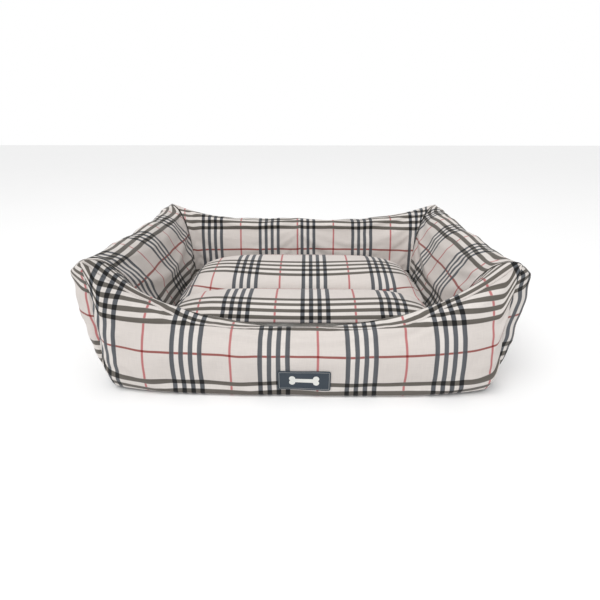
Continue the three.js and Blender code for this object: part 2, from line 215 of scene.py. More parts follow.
class Graph:
    """A material's node tree, with one method that adds any node."""

    def __init__(self, name):
        self.material = bpy.data.materials.new(name)
        self.material.use_nodes = True
        self.tree = self.material.node_tree
        self.shader = self.tree.nodes["Principled BSDF"]

    def node(self, kind, settings, inputs=(), output=0):
        node = self.tree.nodes.new(kind)
        for name, value in settings.items():
            setattr(node, name, value)
        pairs = inputs.items() if isinstance(inputs, dict) else enumerate(inputs)
        for key, value in pairs:
            self.feed(node.inputs[key], value)
        return Value(self, node.outputs[output])

    def feed(self, socket, value):
        if isinstance(value, Value):
            self.tree.links.new(value.socket, socket)
        elif isinstance(value, (tuple, list)) and len(value) == 3 and socket.type == "RGBA":
            socket.default_value = (*value, 1.0)
        else:
            socket.default_value = value

    def finish(self, **inputs):
        """Sets the shader's own sockets, named with _ for a space, and gives the material."""
        for name, value in inputs.items():
            self.feed(self.shader.inputs[name.replace("_", " ")], value)
        return self.material

    def split(self, vector):
        """The three numbers of a vector."""
        parts = self.node("ShaderNodeSeparateXYZ", {}, [vector]).socket.node
        return [Value(self, output) for output in parts.outputs]

    def cloth_axes(self):
        """Metres across and along the cloth, from the piece's own UV map."""
        return self.split(self.node("ShaderNodeUVMap", {"uv_map": CLOTH_UV}))[:2]

    def object_place(self):
        return self.node("ShaderNodeTexCoord", {}, output="Object")

    def vector(self, x, y, z=0.0):
        return self.node("ShaderNodeCombineXYZ", {}, [x, y, z])

    def noise(self, vector, scale, detail=2.0, roughness=0.5):
        return self.node(
            "ShaderNodeTexNoise", {},
            {"Vector": vector, "Scale": scale, "Detail": detail, "Roughness": roughness},
        )

    def mix(self, factor, first, second, blend="MIX"):
        return self.node(
            "ShaderNodeMix", {"data_type": "RGBA", "blend_type": blend},
            {0: factor, 6: first, 7: second}, output=2,
        )

    def shaded(self, tint, level):
        """A colour made lighter or darker by a number."""
        return self.mix(1.0, tint, self.vector(level, level, level), "MULTIPLY")

    def bump(self, height, distance, strength=1.0):
        return self.node("ShaderNodeBump", {}, {"Height": height, "Distance": distance, "Strength": strength})


def stripe(off, centre, half, soft):
    """1 within half of centre, with soft edges."""
    return ((half - abs(off - centre)) / soft + 0.5).clamped()


STRIPE_SOFT = 0.006  # soft edge of a stripe, as a share of the repeat


def band_masks(place, repeat, plaid):
    """(dark stripes, lighter band, red line) for a distance across one set of stripes."""
    off = abs((place / repeat + 0.5).math("FRACT") - 0.5)
    inner, outer = plaid.stripe_step / 2, plaid.stripe_step * 3 / 2
    stripes = largest(*(stripe(off, middle, plaid.stripe, STRIPE_SOFT) for middle in (inner, outer)))
    band = stripe(off, 0.0, outer, STRIPE_SOFT)
    red = stripe(off, 0.5, plaid.red_line, STRIPE_SOFT)
    return stripes, band, red


THREAD = 0.00042  # width of a yarn


def weave_height(graph, across, along):
    """Height of a plain weave's yarns, with slubs where a yarn is thicker."""
    weave = across.wave(THREAD) * along.wave(THREAD)
    slub = graph.noise(graph.vector(across * 1400.0, along * 60.0), 1.0)
    cross_slub = graph.noise(graph.vector(across * 60.0, along * 1400.0), 1.0)
    return weave * 0.35 + slub + cross_slub


def plaid_material():
    plaid = bpy.context.scene.bed_plaid
    graph = Graph("plaid_fabric")
    across, along = graph.cloth_axes()
    warp, warp_band, warp_red = band_masks(across, plaid.repeat_across, plaid)
    weft, weft_band, weft_red = band_masks(along, plaid.repeat_along, plaid)

    def over_ground(tint):
        return tuple(min(1.0, c / g) for c, g in zip(tint, plaid.ground))

    white = (1.0, 1.0, 1.0)
    shade = graph.mix(largest(warp_band, weft_band), tuple(plaid.ground), tuple(plaid.gap))
    layers = (
        (warp, plaid.warp_stripe), (weft, plaid.weft_stripe),
        (warp * weft, tuple(c * 0.5 for c in plaid.ground)),
        (warp_red * (1 - weft), plaid.warp_red), (weft_red * (1 - warp * 0.7), plaid.weft_red),
    )
    for mask, tint in layers:
        shade = graph.mix(1.0, shade, graph.mix(mask, white, over_ground(tint)), "MULTIPLY")

    yarn = graph.noise(graph.vector(across * 900.0, along * 45.0), 1.0)
    cross_yarn = graph.noise(graph.vector(across * 45.0, along * 900.0), 1.0)
    cloud = graph.noise(graph.vector(across, along), 9.0)
    worn = (yarn + cross_yarn) * 0.13 + cloud * 0.07 + 0.83
    height = weave_height(graph, across, along)
    return graph.finish(
        Base_Color=graph.shaded(shade, worn),
        Roughness=0.86 + yarn * 0.1,
        Specular_IOR_Level=0.25,
        Sheen_Weight=0.12,
        Sheen_Roughness=0.5,
        Normal=graph.bump(height, 0.00022, 0.55),
    )


def fibre_material():
    graph = Graph("fibre_filling")
    place = graph.object_place()
    strands = graph.noise(place, 260.0, 5.0, 0.7)
    clumps = graph.noise(place, 28.0, 3.0, 0.6)
    trim = bpy.context.scene.bed_trim
    deep = tuple(c * 0.82 for c in trim.fibre)
    shade = graph.mix((clumps * 1.3 + strands * 0.5 - 0.5).clamped(), deep, tuple(trim.fibre))
    return graph.finish(
        Base_Color=shade,
        Roughness=0.95,
        Sheen_Weight=0.5,
        Sheen_Roughness=0.4,
        Normal=graph.bump(strands + clumps * 2.0, 0.002, 0.8),
    )


def plain_cloth_material(name, tint, thread):
    """A plain woven cloth in one colour with a visible yarn, on the piece's own place."""
    graph = Graph(name)
    place = graph.object_place()
    x, y, _ = graph.split(place)
    weave = x.wave(thread) * y.wave(thread)
    streak = graph.noise(graph.vector(x * 700.0, y * 40.0), 1.0)
    cloud = graph.noise(place, 14.0, 3.0)
    return graph.finish(
        Base_Color=graph.shaded(tuple(tint), streak * 0.16 + cloud * 0.14 + 0.85),
        Roughness=0.85 + streak * 0.1,
        Sheen_Weight=0.15,
        Sheen_Roughness=0.5,
        Normal=graph.bump(weave * 0.5 + streak, 0.0003, 0.6),
    )


def grained_material(name, scale, dark, light, rough, rough_spread, depth, strength):
    """A plain finish whose fine grain varies its colour and its roughness."""
    graph = Graph(name)
    grain = graph.noise(graph.object_place(), scale, 2.0)
    return graph.finish(
        Base_Color=graph.mix(grain, dark, light),
        Roughness=rough + grain * rough_spread,
        Normal=graph.bump(grain, depth, strength),
    )


def rubber_material():
    return grained_material("grip_rubber", 900.0, srgb(26, 27, 29), srgb(44, 45, 48), 0.5, 0.2, 0.0001, 1.0)


def tape_material():
    """Zip tape in a fine herringbone."""
    graph = Graph("zip_tape")
    x, _, z = graph.split(graph.object_place())
    zigzag = abs((z * 320.0).math("FRACT") - 0.5)
    rib = (x * 1300.0 + zigzag * 2.0).wave(0.5)
    tint = bpy.context.scene.bed_trim.tape
    shade = graph.mix(rib * 0.5 + 0.5, tuple(c * 0.86 for c in tint), tuple(tint))
    return graph.finish(
        Base_Color=shade, Roughness=0.85, Sheen_Weight=0.15, Normal=graph.bump(rib, 0.0001, 0.7)
    )


def metal_material():
    graph = Graph("zip_metal")
    place = graph.object_place()
    rub = graph.noise(place, 420.0, 3.0)
    wear = graph.noise(place, 90.0, 2.0)
    tint = bpy.context.scene.bed_trim.metal
    shade = graph.mix(wear, tuple(c * 0.8 for c in tint), tuple(tint))
    return graph.finish(
        Base_Color=shade, Metallic=1.0, Roughness=0.24 + rub * 0.22, Normal=graph.bump(rub, 0.00004, 0.4)
    )


def coil_material():
    tint = bpy.context.scene.bed_trim.tape
    dark, light = tuple(c * 0.8 for c in tint), tuple(min(1.0, c * 1.08) for c in tint)
    return grained_material("zip_coil", 600.0, dark, light, 0.35, 0.15, 0.00005, 0.4)


def label_material(width, height):
    """Close satin weave with a plain bone woven in, centred on the label."""
    trim = bpy.context.scene.bed_trim
    graph = Graph("woven_label")
    across, along = graph.cloth_axes()
    size = height * 0.5

    def disc(x, y, radius):
        dx, dy = across - x, along - y
        return radius - (dx * dx + dy * dy) ** 0.5

    knob, span = size * 0.27, size * 1.05
    lobes = [disc(sx * span, sy * knob * 0.8, knob) for sx in (-1, 1) for sy in (-1, 1)]
    bar = smallest(span - abs(across), size * 0.2 - abs(along))
    bone = (largest(bar, *lobes) / 0.0002 + 0.5).clamped()
    frame_line = smallest(width / 2 - 0.0022 - abs(across), height / 2 - 0.0022 - abs(along))
    border = stripe(frame_line, 0.0, 0.00022, 0.0001)
    rib, pick = along.wave(0.00025), across.wave(0.000225)
    grain = graph.noise(graph.vector(across * 2600.0, along * 500.0), 1.0)
    back = graph.mix(grain, tuple(c * 0.8 for c in trim.label), tuple(c * 1.2 for c in trim.label))
    shade = graph.mix(largest(bone, border * 0.55), back, tuple(trim.motif))
    return graph.finish(
        Base_Color=shade,
        Roughness=0.62 + grain * 0.15,
        Sheen_Weight=0.1,
        Normal=graph.bump(rib * 0.4 + pick * 0.2 + bone * 1.2 + grain * 0.4, 0.00015, 0.7),
    )


def thread_material():
    graph = Graph("sewing_thread")
    twist = graph.noise(graph.object_place(), 1500.0, 2.0)
    shade = graph.mix(twist, srgb(34, 42, 50), srgb(62, 74, 86))
    return graph.finish(Base_Color=shade, Roughness=0.6, Normal=graph.bump(twist, 0.0001, 0.5))


MATERIALS = {}


def material(name, make, *inputs):
    """The named material, made once."""
    if name not in MATERIALS:
        MATERIALS[name] = make(*inputs)
    return MATERIALS[name]


# ---- Walls ----------------------------------------------------------------------------

CORNER_X, CORNER_Y = 0.306, 0.210  # upright corner seams
EAR_Z = 0.209  # tips of the corner ears
FOOT_Z = 0.0015  # lower edge of the covers
FOOT_LIFT = 0.026  # how far the foot is drawn up at the corner seams
FOOT_CURVE = 3  # how late the foot turns in along a wall
VALLEY = 0.060  # how far the corner valley stands in from the corner seam
VALLEY_Z = 0.060  # height where the valley stands in that far
PINCH_POWER, PINCH_ROUND = 6, 0.6  # how late and how roundly a wall closes at its ends
DRAW_IN, DRAW_IN_REACH = 0.007, 0.020  # pull on the corner seams at half height, and its reach
INNER_TUCK, INNER_TUCK_POWER = 0.21, 2.5  # how the inner face curls under to its foot
FINE = 60  # steps of a section's finely drawn path


def smooth(x):
    x = min(1.0, max(0.0, x))
    return x * x * (3 - 2 * x)


def closing(u, power, roundness):
    """1 along most of a length, falling to 0 at its ends."""
    return max(0.0, 1 - abs(u) ** power) ** roundness


def measure(points):
    """Distance travelled along a row of points."""
    steps = np.linalg.norm(np.diff(points, axis=0), axis=1)
    return np.concatenate([[0.0], np.cumsum(steps)])


def evenly(values, points, step):
    """Values an even distance apart along the path of points that belongs to them."""
    travel = measure(points)
    count = round(travel[-1] / step)
    return np.interp(np.linspace(0, travel[-1], count + 1), travel, values)


def respaced(points, count):
    """The same path with count + 1 points an even distance apart."""
    travel = measure(points)
    at = np.linspace(0, travel[-1], count + 1)
    return np.stack([np.interp(at, travel, points[:, axis]) for axis in range(3)], axis=1)


@dataclass
class Wall:
    """One stuffed wall: where it stands, and its section, which changes along its length."""

    half_length: float
    plane: float  # from the bed's middle to the corner seams' plane
    turn: float  # angle that the front wall is turned by to stand here
    crest: float  # height of the crest at the wall's middle
    climb: tuple  # powers by which the crest climbs to the ears, early and late
    climb_share: float  # share of the climb that comes early
    shift: float  # how far the crest stands in from the corner seams' plane
    outer: float  # half depth outside the crest, and the height where it is widest
    outer_z: float
    inner: float  # half depth inside the crest, and the height where it is widest
    inner_z: float
    foot_out: float  # how far the foot stands out at the wall's middle
    outer_round: float = 1.0  # below 1 the crest is squarer
    inner_round: float = 1.0
    bulge: tuple = (9, 0.38)  # power and roundness of the outer face's closing at the corners
    lift_from: float = 0.92  # share of the half length where the foot starts to lift
    flare: tuple = (0.0, 0.0, 0.0)  # depth, height and squareness gained outside beside the ears

    def fullness(self, u):
        """1 along most of a wall, falling to 0 at the corner seams where it is pinched shut."""
        return closing(u, PINCH_POWER, PINCH_ROUND)

    def section(self, u, seam):
        """(offset, height) pairs from the outer foot over the crest to the inner foot, and the
        index where the path reaches seam, an angle over the crest from the outside."""
        full = self.fullness(u)
        early, late = (abs(u) ** power for power in self.climb)
        climbed = self.climb_share * early + (1 - self.climb_share) * late
        top = self.crest + (EAR_Z - self.crest) * climbed
        crest_out = -self.shift * full
        by_ear = abs(u) ** 6
        outer = (self.outer - self.shift + self.flare[0] * by_ear) * closing(u, *self.bulge) - crest_out
        outer_z = self.outer_z + self.flare[1] * by_ear
        inner = VALLEY + (self.inner - VALLEY) * full
        inner_z = VALLEY_Z + (self.inner_z - VALLEY_Z) * full
        foot_z = FOOT_Z + FOOT_LIFT * smooth((abs(u) - self.lift_from) / (1 - self.lift_from))
        foot_out = self.foot_out * (1 - abs(u) ** FOOT_CURVE)
        path = []
        for i in range(FINE):
            rise = i / FINE
            tuck = (1 - rise) ** 3 * (crest_out + outer - foot_out)
            path.append((crest_out + outer - tuck, foot_z + (outer_z - foot_z) * rise))
        for i in range(2 * FINE + 1):
            angle = math.pi * i / (2 * FINE)
            across, up = math.cos(angle), math.sin(angle)
            if across > 0:
                half, widest, power = outer, outer_z, self.outer_round - self.flare[2] * by_ear
            else:
                half, widest, power = inner, inner_z, self.inner_round
            reach = math.copysign(abs(across) ** power, across)
            path.append((crest_out + half * reach, widest + (top - widest) * up ** power))
        for i in range(1, FINE + 1):
            drop = i / FINE
            tuck = INNER_TUCK * full * drop ** INNER_TUCK_POWER * inner
            path.append((crest_out - inner + tuck, inner_z + (FOOT_Z - inner_z) * drop))
        return np.array(path), FINE + round(2 * FINE * seam / math.pi)

    def place(self, u, pairs):
        """Points of the section at station u; inside the corner plane both ends lie on the mitre."""
        offset, z = pairs[:, 0], pairs[:, 1]
        along = u * (self.half_length + np.minimum(0, offset))
        out = self.plane + offset
        cos, sin = math.cos(self.turn), math.sin(self.turn)
        return np.stack([along * cos + out * sin, along * sin - out * cos, z], axis=1)

    def stations(self, first, last, step):
        """Shares of the half length, an even distance apart along the wall's fullest line."""
        fine = np.linspace(first, last, 1500)
        out = np.array([(self.outer - self.shift) * closing(u, *self.bulge) for u in fine])
        return evenly(fine, np.stack([fine * self.half_length, out], axis=1), step)

    def sheet(self, stations, rows, part, seam=math.pi / 2):
        """Points of a cover, rows by stations. part is outer, inner or whole; seam is the angle
        over the crest where the outer part meets the inner one."""
        columns = []
        for u in stations:
            pairs, split = self.section(u, seam(u) if callable(seam) else seam)
            pairs = {"outer": pairs[: split + 1], "inner": pairs[split:], "whole": pairs}[part]
            columns.append(respaced(self.place(u, pairs), rows))
        return np.stack(columns, axis=1)


FRONT = Wall(
    half_length=CORNER_X, plane=CORNER_Y, turn=0.0, crest=0.098, climb=(1.8, 7), climb_share=0.55,
    shift=0.020, outer=0.055, outer_z=0.056, inner=0.023, inner_z=0.050, foot_out=0.020,
    bulge=(7, 0.5), lift_from=0.95,
)
BACK = Wall(
    half_length=CORNER_X, plane=CORNER_Y, turn=math.pi, crest=0.176, climb=(3, 3), climb_share=0.5,
    shift=0.005, outer=0.041, outer_z=0.090, inner=0.042, inner_z=0.062, foot_out=0.026,
    outer_round=0.85, inner_round=0.8,
)
LEFT, RIGHT = (
    Wall(
        half_length=CORNER_Y, plane=CORNER_X, turn=turn, crest=0.207, climb=(3, 3), climb_share=0.5,
        shift=0.008, outer=0.033, outer_z=0.130, inner=0.052, inner_z=0.080, foot_out=0.010,
        outer_round=0.75, inner_round=0.95, bulge=(40, 0.33), lift_from=0.82, flare=(0.006, 0.036, 0.35),
    )
    for turn in (-math.pi / 2, math.pi / 2)
)
WALLS = {"front": FRONT, "back": BACK, "left": LEFT, "right": RIGHT}
BACK_SEAM_U = 0.033  # where the back wall's upright seam stands, as a share of its half length
EARS = [Vector((sx * CORNER_X, sy * CORNER_Y, EAR_Z)) for sx in (-1, 1) for sy in (-1, 1)]
EAR_ROUND, EAR_REACH = 0.006, 0.08  # how far down an ear's tip is rounded, and how far round it


def round_ears(points):
    """Blunts the tips of the four ears, as stuffed cloth corners are."""
    for ear in EARS:
        inward = np.array([-math.copysign(0.45, ear.x), -math.copysign(0.45, ear.y), -0.77])
        depth = (points - np.array(ear)) @ inward
        near = np.linalg.norm(points - np.array(ear), axis=-1) < EAR_REACH
        push = np.where(near, np.clip(EAR_ROUND - depth, 0, None) ** 2 / (2.4 * EAR_ROUND), 0)
        points = points + push[..., None] * inward
    return points


def draw_in(points):
    """Pulls the upright corner seams in at half height, with the cloth beside them."""
    x, y, z = points[..., 0], points[..., 1], points[..., 2]
    away = np.hypot(np.abs(x) - CORNER_X, np.abs(y) - CORNER_Y)
    pull = DRAW_IN * np.sin(np.pi * np.clip(z / EAR_Z, 0, 1)) * np.exp(-((away / DRAW_IN_REACH) ** 2))
    return np.stack([x - np.sign(x) * pull, y, z], axis=-1)


def rumple(points, depth, size, seed):
    """Broad soft waves, as cloth over loose stuffing has."""
    moved = grid_normals(points)
    for index in np.ndindex(points.shape[:2]):
        place = Vector(points[index]) / size + Vector((seed * 7.3, 0, 0))
        moved[index] *= depth * noise.fractal(place, 1.0, 2.0, 2)
    share = limit_map(points, 1.0, edge=0.0, reach=5)
    return points + moved * share[..., None]


def shaped(points, depth, size, seed):
    """The finishing of every wall cover's starting shape."""
    return rumple(draw_in(round_ears(points)), depth, size, seed)


def travelled(points):
    """Metres across along each row of a sheet, and along down each of its columns."""
    across = np.stack([measure(row) for row in points])
    along = np.stack([measure(points[:, i]) for i in range(points.shape[1])], axis=1)
    return across, along


def flat_pattern(points, centre):
    """Metres across and along the cloth at each point of a sheet, as it was cut. Across is
    measured along each row from the column centre, along from the first row."""
    across, along = travelled(points)
    middle = np.array([np.interp(centre, np.arange(points.shape[1]), row) for row in across])
    return np.stack([across - middle[:, None], along], axis=2)


def ramp(flat, start, span):
    """A number for each row of a sheet that climbs from 0 to 1 over a span of the way down it."""
    return np.clip((np.linspace(0, 1, len(flat)) - start) / span, 0, 1)[:, None]


def level_pattern(flat, centre, taken_up=0.0):
    """The pattern with its level stripes held level on both faces: below the crest they keep
    their distance from the foot on that side, and the cloth over the crest takes up the rest."""
    along = flat[..., 1]
    total = along[-1, round(centre)]
    from_inside = total - taken_up - (along[-1] - along)
    over = ramp(flat, 0.14, 0.26)
    over = over * over * (3 - 2 * over)
    return np.stack([flat[..., 0], along * (1 - over) + from_inside * over], axis=2)


LEAN, LEAN_FROM = 0.5, 0.200  # how far the side walls' upright stripes lean back inside the bed
SIDE_TAKEN_UP = 0.019  # cloth that the side walls' crests take up between the two faces
DRAWN_DOWN, DRAWN_FROM, DRAWN_MORE = 0.037, 0.075, 0.16  # how far the ears draw level stripes down


def leaning(flat, lean, stations):
    """The pattern turned on the cloth: its upright stripes lean along the wall inside the bed,
    and outside its level stripes are drawn down to the ears."""
    over = np.clip(flat[..., 1] - LEAN_FROM, 0, None)
    outside = 1 - ramp(flat, 0.42, 0.12)
    drawn = DRAWN_DOWN + DRAWN_MORE * np.clip(flat[..., 1] - DRAWN_FROM, 0, None)
    down = drawn * np.abs(stations) ** 5 * outside
    return np.stack([flat[..., 0] - lean * over, flat[..., 1] + down], axis=2)


# ---- Cloth pieces ---------------------------------------------------------------------

COVERS = []  # covers that still have to settle


def mesh_object(name, vertices, faces, smooth_shaded=True):
    """A new object with these vertices and faces."""
    mesh = bpy.data.meshes.new(name)
    mesh.from_pydata(vertices, [], faces)
    mesh.polygons.foreach_set("use_smooth", [smooth_shaded] * len(mesh.polygons))
    piece = bpy.data.objects.new(name, mesh)
    bpy.context.scene.collection.objects.link(piece)
    return piece


def grid_faces(points):
    """The four corners of each face of a grid of points."""
    rows, columns = points.shape[:2]
    index = np.arange(rows * columns).reshape(rows, columns)
    corners = [index[:-1, :-1], index[:-1, 1:], index[1:, 1:], index[1:, :-1]]
    return np.stack(corners, axis=2).reshape(-1, 4).tolist()


def grid_object(name, points, uv):
    """A sheet's grid as an object, facing out, with its flat pattern as its UV map."""
    piece = mesh_object(name, points.reshape(-1, 3), grid_faces(points))
    layer = piece.data.uv_layers.new(name=CLOTH_UV)
    corners = np.array([loop.vertex_index for loop in piece.data.loops])
    layer.data.foreach_set("uv", uv.reshape(-1, 2)[corners].astype(np.float32).ravel())
    return piece


def cover(name, points, origin, centre, pinned, slack, limit, body="bed", nodes=(), pressure=1.0,
          stripes=None):
    """A cover to be settled: origin is where a stripe band's middle crosses, in the cut cloth,
    and stripes turns the cut pattern into the one that the plaid follows."""
    flat = flat_pattern(points, centre)
    followed = flat if stripes is None else stripes(flat)
    piece = grid_object(name, points, followed - np.array(origin))
    COVERS.append({
        "piece": piece, "flat": flat * (1 + np.array(slack)), "pinned": pinned, "limit": limit,
        "body": body, "nodes": nodes, "pressure": pressure, "rest": points,
    })
    return piece


def edge_rows(points, rows=(0, -1), columns=(0, -1)):
    """Indices of the vertices in these rows and columns of a grid."""
    index = np.arange(points.shape[0] * points.shape[1]).reshape(points.shape[:2])
    found = [index[row] for row in rows] + [index[:, column] for column in columns]
    return sorted({int(i) for part in found for i in part})


def add_cloth(entry):
    """Blender's Cloth on a cover: sewn edges pinned, the cut pattern as its rest shape, and the
    filling's push as a pressure."""
    piece, settings = entry["piece"], bpy.context.scene.bed_covers
    group = piece.vertex_groups.new(name="sewn")
    group.add(entry["pinned"], 1.0, "REPLACE")
    piece.shape_key_add(name="Basis")
    cut = piece.shape_key_add(name="cut")
    flat = np.zeros((len(piece.data.vertices), 3), np.float32)
    flat[:, :2] = entry["flat"].reshape(-1, 2)
    cut.data.foreach_set("co", flat.ravel())
    cut.value = 0.0
    modifier = piece.modifiers.new("cloth", "CLOTH")
    cloth = modifier.settings
    cloth.quality = 5
    cloth.mass = 0.2
    cloth.tension_stiffness = cloth.compression_stiffness = 25
    cloth.shear_stiffness = 12
    cloth.bending_stiffness = 0.25
    cloth.tension_damping = cloth.compression_damping = 15
    cloth.shear_damping = 10
    cloth.bending_damping = 2
    cloth.air_damping = 3
    cloth.vertex_group_mass = group.name
    cloth.pin_stiffness = 1
    cloth.use_pressure = True
    cloth.uniform_pressure_force = settings.pressure * entry["pressure"]
    cloth.effector_weights.gravity = 0.3
    cloth.rest_shape_key = cut
    modifier.collision_settings.use_collision = False
    modifier.point_cache.frame_start = 1
    modifier.point_cache.frame_end = settings.frames + 1


SLIP = 0.25  # share of a point's move along the cloth that is kept, so that the stripes stay even
STILL = 1e-9  # a length taken as none


def settled_points(entry, graph):
    """Where the cloth came to rest, held within the cover's limit of its starting shape."""
    piece = entry["piece"]
    points = vertex_places(piece.evaluated_get(graph).to_mesh())
    piece.evaluated_get(graph).to_mesh_clear()
    start = entry["rest"].reshape(-1, 3)
    move = points - start
    out = grid_normals(entry["rest"]).reshape(-1, 3)
    outward_part = out * (move * out).sum(axis=1, keepdims=True)
    move = outward_part + (move - outward_part) * SLIP
    far = np.linalg.norm(move, axis=1, keepdims=True)
    limit = np.broadcast_to(entry["limit"], entry["rest"].shape[:2]).reshape(-1, 1)
    held = limit * np.tanh(far / np.maximum(limit, 1e-6))
    return start + move * np.where(far > STILL, held / np.maximum(far, STILL), 1)


def settle_covers():
    """Steps the cloth of every cover together, then keeps each shape."""
    scene = bpy.context.scene
    for entry in COVERS:
        add_cloth(entry)
    for step in range(1, scene.bed_covers.frames + 1):
        scene.frame_set(step)
    graph = bpy.context.evaluated_depsgraph_get()
    shapes = [settled_points(entry, graph) for entry in COVERS]
    for entry, points in zip(COVERS, shapes):
        piece = entry["piece"]
        piece.modifiers.clear()
        piece.shape_key_clear()
        piece.vertex_groups.clear()
        piece.data.vertices.foreach_set("co", points.astype(np.float32).ravel())
        piece.data.update()
    scene.frame_set(1)


def select_only(piece):
    bpy.ops.object.select_all(action="DESELECT")
    piece.select_set(True)
    bpy.context.view_layer.objects.active = piece


def apply_modifiers(piece):
    select_only(piece)
    for modifier in list(piece.modifiers):
        bpy.ops.object.modifier_apply(modifier=modifier.name)


def divide(piece):
    modifier = piece.modifiers.new("divide", "SUBSURF")
    modifier.levels = modifier.render_levels = 1
    modifier.uv_smooth = "PRESERVE_BOUNDARIES"


def thicken(piece, thickness):
    """Gives a sheet its thickness, inwards from the face that shows."""
    modifier = piece.modifiers.new("cloth_thickness", "SOLIDIFY")
    modifier.thickness = thickness
    modifier.offset = -1.0
    modifier.use_even_offset = False
    apply_modifiers(piece)


def cut_size(flat):
    """Width and length of a flat pattern."""
    return float(np.ptp(flat[..., 0])), float(np.ptp(flat[..., 1]))


def finish_cover(entry):
    piece = entry["piece"]
    divide(piece)
    apply_modifiers(piece)
    entry["tree"] = BVHTree.FromObject(piece, bpy.context.evaluated_depsgraph_get())
    thicken(piece, bpy.context.scene.bed_covers.cloth)
    piece.data.materials.append(material("plaid", plaid_material))
    size = cut_size(entry["flat"])
    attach(piece, entry["body"])
    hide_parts(*entry["nodes"])


def limit_map(points, middle, edge=0.0005, reach=4):
    """How far each point of a cover may move: a little at sewn edges, middle elsewhere."""
    v, u = np.indices(points.shape[:2], dtype=float)
    last_v, last_u = points.shape[0] - 1, points.shape[1] - 1
    far = np.minimum.reduce([v, last_v - v, u, last_u - u, np.full_like(v, reach)])
    return edge + (middle - edge) * far / reach


def pucker(points, columns, depth, wave, reach, seed):
    """Small gathers that run away from a sewn column of a cover."""
    out = grid_normals(points)
    across, along = travelled(points)
    phase = np.random.default_rng(seed).uniform(0, math.tau, 3)
    for column in columns:
        away = np.abs(across - across[:, column][:, None])
        ripple = sum(
            np.sin(along * math.tau / (wave * scale) + p) / 3 for scale, p in zip((1.0, 0.63, 1.7), phase)
        )
        fade = np.exp(-((away / reach) ** 2)) * np.clip(away / 0.008, 0, 1)
        points = points + out * (ripple * fade * depth)[..., None]
    return points


def grid_normals(points):
    across = np.gradient(points, axis=1)
    along = np.gradient(points, axis=0)
    normals = np.cross(across, along)
    return normals / np.maximum(np.linalg.norm(normals, axis=2, keepdims=True), STILL)


# ---- Cushion --------------------------------------------------------------------------

CUSHION_HALF, CUSHION_FLARE = 0.232, 0.006  # half width at the middle, and what the corners add
CUSHION_FRONT, CUSHION_BACK, CUSHION_SEAM_Z = -0.163, 0.142, 0.068
CORNER_ROUNDING = 0.012  # how far the front corners are drawn back
CHANNEL_Y, CHANNEL_SHARE = -0.046, 0.24  # the sewn channel, and the share of the rise left in it
FRONT_SPARE = 0.004  # how far in front of its seam the front lobe's slope would end
FRONT_LOBE = {"middle": -0.104, "rise": 0.0545, "front": (2.6, 0.42), "back": (3, 0.45)}
BACK_LOBE = {"middle": 0.050, "rise": 0.068, "front": (1.6, 0.3), "back": (2.2, 0.45)}
SIDE_POWER = 4.5  # how late the top closes at its sides
DROP, BELLY_POWER = 0.034, 7  # how far the bottom hangs below the seam, and how late it closes
LIP = 0.013  # how far the front lobe's crown bulges forward


def cushion_rise(y):
    """Height of the top over the seam, before its sides close."""
    if y < CHANNEL_Y:
        lobe, reach_front, reach_back = FRONT_LOBE, FRONT_SPARE - CUSHION_FRONT, CHANNEL_Y
    else:
        lobe, reach_front, reach_back = BACK_LOBE, -CHANNEL_Y, CUSHION_BACK
    middle = lobe["middle"]
    in_front = y < middle
    reach = middle + reach_front if in_front else reach_back - middle
    power, roundness = lobe["front" if in_front else "back"]
    shape = (1 - min(1.0, abs(y - middle) / reach) ** power) ** roundness
    if FRONT_LOBE["middle"] < y < BACK_LOBE["middle"]:
        shape = CHANNEL_SHARE + (1 - CHANNEL_SHARE) * shape
    return lobe["rise"] * shape


def cushion_point(p, y, side):
    """A point of the cushion: p across from -1 to 1, y from front to back; side 1 is the top."""
    q = (y - (CUSHION_FRONT + CUSHION_BACK) / 2) / ((CUSHION_BACK - CUSHION_FRONT) / 2)
    half = CUSHION_HALF + CUSHION_FLARE * abs(q) ** 3
    x = p * half
    rounding = CORNER_ROUNDING * q * q * abs(p) ** 3 if q < 0 else 0.0
    if side < 0:
        edge = closing(p, BELLY_POWER, 0.5) * closing(q, BELLY_POWER, 0.5)
        return x, y + rounding, CUSHION_SEAM_Z - DROP * edge
    height = cushion_rise(y) * closing(p, SIDE_POWER, 0.5)
    high, forward = smooth((height - 0.012) / 0.03), smooth((-0.100 - y) / 0.05)
    lip = LIP * high * forward * closing(x / 0.15, 2, 1)
    return x, y + rounding - lip, CUSHION_SEAM_Z + height


def cushion_rows(step, first, last):
    """Places from front to back, an even distance apart over the top."""
    fine = np.linspace(first, last, 1201)
    return evenly(fine, np.array([cushion_point(0.0, y, 1) for y in fine]), step)


def cushion_sheet(side, step):
    """Points of the top or the bottom panel, the channel's row and the middle column."""
    fine = np.linspace(-1, 1, 1201)
    columns = evenly(fine, np.array([cushion_point(p, BACK_LOBE["middle"], 1) for p in fine]), step)
    front, back = cushion_rows(step, CUSHION_FRONT, CHANNEL_Y), cushion_rows(step, CHANNEL_Y, CUSHION_BACK)
    rows = np.concatenate([front, back[1:]])
    points = np.array([[cushion_point(p, y, side) for p in columns] for y in rows])
    return points, len(front) - 1, (len(columns) - 1) / 2


BAND_ON_BACK_LOBE, BAND_ON_FRONT_LOBE = 0.004, -0.151  # where the level bands' middles cross


def lobe_pattern(flat, points, channel, middle):
    """The cushion top's pattern, whose stripes start again in front of the channel, because
    much of the cloth between is taken down into the stitching."""
    flat = flat.copy()
    row = points[:, middle, 1]
    lobes = ((slice(0, channel), BAND_ON_FRONT_LOBE), (slice(channel, None), BAND_ON_BACK_LOBE))
    starts = [np.interp(band, row[part], flat[part, middle, 1]) for part, band in lobes]
    for (part, _), start in zip(lobes, starts):
        flat[part, :, 1] -= start
    return flat


# ---- Operators ------------------------------------------------------------------------


